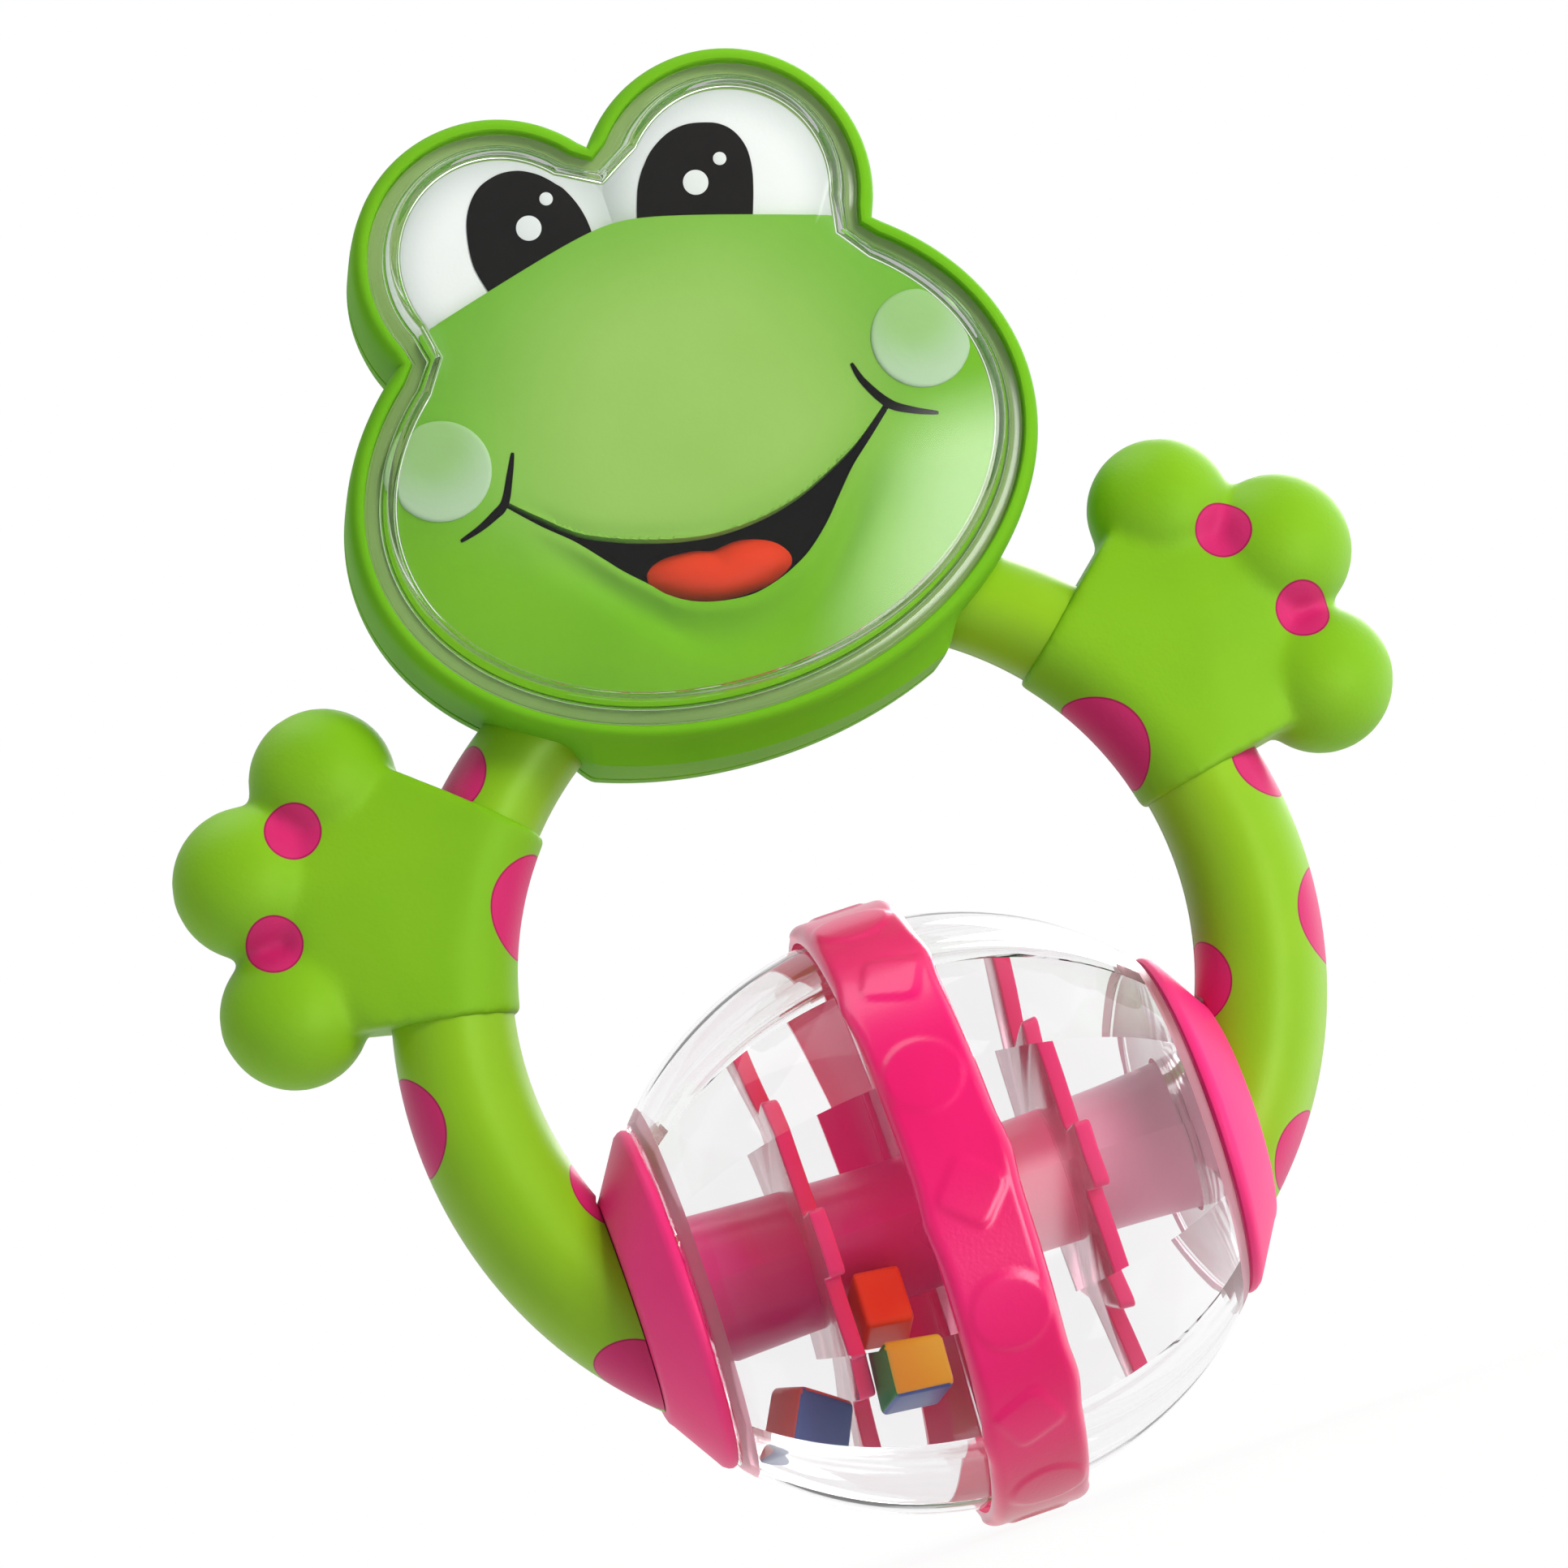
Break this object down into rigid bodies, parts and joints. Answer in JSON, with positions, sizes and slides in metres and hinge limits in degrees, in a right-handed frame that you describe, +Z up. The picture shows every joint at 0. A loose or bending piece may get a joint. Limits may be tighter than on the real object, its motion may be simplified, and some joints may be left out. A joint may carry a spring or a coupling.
{
  "type": "frog rattle",
  "caption": "Baby rattle: a frog's head and hands on a grip ring whose ends carry a turning clear ball with a pink band, inner star plates and loose beads.",
  "frame": {"origin": "middle of the object's box at its lowest point, under the ball's band", "axes": "+Z up from the ball to the head, +X to the viewer's right, front of the face towards -Y, ball axle along X"},
  "size_m": [0.1346, 0.0684, 0.1615],
  "materials": {
    "casing_green": "smooth moulded plastic, satin",
    "arm_green": "smooth moulded plastic, satin, with pink spots",
    "hand_green": "soft matte rubber",
    "window_clear": "clear polished plastic",
    "face_green": "painted moulding, satin",
    "eye_white": "painted moulding, satin",
    "pupil_black": "gloss black",
    "mouth_black": "matte black",
    "tongue_red": "painted moulding, satin",
    "screw_steel": "zinc plated",
    "collar_pink": "moulded plastic, satin",
    "axle_steel": "ground rod",
    "shell_clear": "clear polished plastic",
    "band_pink": "translucent glossy rubber",
    "spool_pink": "translucent moulded plastic",
    "bush_white": "acetal",
    "bead_red_blue": "moulded plastic in two colours",
    "bead_green_yellow": "moulded plastic in three colours",
    "bead_orange": "moulded plastic"
  },
  "bodies": {
    "root": {"head_front_shell": "casing_green", "head_rear_cover": "casing_green", "face_window": "window_clear", "face_plate": "face_green", "eye_insert": "eye_white", "left_pupil": "pupil_black", "right_pupil": "pupil_black", "mouth_insert": "mouth_black", "tongue": "tongue_red", "head_screw_1": "screw_steel", "head_screw_2": "screw_steel", "head_screw_3": "screw_steel", "head_screw_4": "screw_steel", "left_arm_front": "arm_green", "left_arm_rear": "arm_green", "right_arm_front": "arm_green", "right_arm_rear": "arm_green", "left_hand": "hand_green", "right_hand": "hand_green", "left_collar": "collar_pink", "right_collar": "collar_pink", "axle": "axle_steel"},
    "ball": {"left_shell": "shell_clear", "right_shell": "shell_clear", "grip_band": "band_pink", "spool_hub": "spool_pink", "left_baffle": "spool_pink", "middle_baffle": "spool_pink", "right_baffle": "spool_pink", "left_bush": "bush_white", "right_bush": "bush_white"},
    "red_blue_bead": {"bead_red_blue": "bead_red_blue"},
    "green_yellow_bead": {"bead_green_yellow": "bead_green_yellow"},
    "orange_bead": {"bead_orange": "bead_orange"}
  },
  "joints": [
    {"name": "ball_spin", "type": "hinge", "parent": "root", "child": "ball", "pos_m": [0, 0, 0.0342], "axis": [1, 0, 0], "continuous": true},
    {"name": "red_blue_bead_tumble", "type": "hinge", "parent": "ball", "child": "red_blue_bead", "pos_m": [0, 0, 0.0342], "axis": [1, 0, 0], "continuous": true},
    {"name": "green_yellow_bead_tumble", "type": "hinge", "parent": "ball", "child": "green_yellow_bead", "pos_m": [0, 0, 0.0342], "axis": [1, 0, 0], "continuous": true},
    {"name": "orange_bead_tumble", "type": "hinge", "parent": "ball", "child": "orange_bead", "pos_m": [0, 0, 0.0342], "axis": [1, 0, 0], "continuous": true}
  ]
}
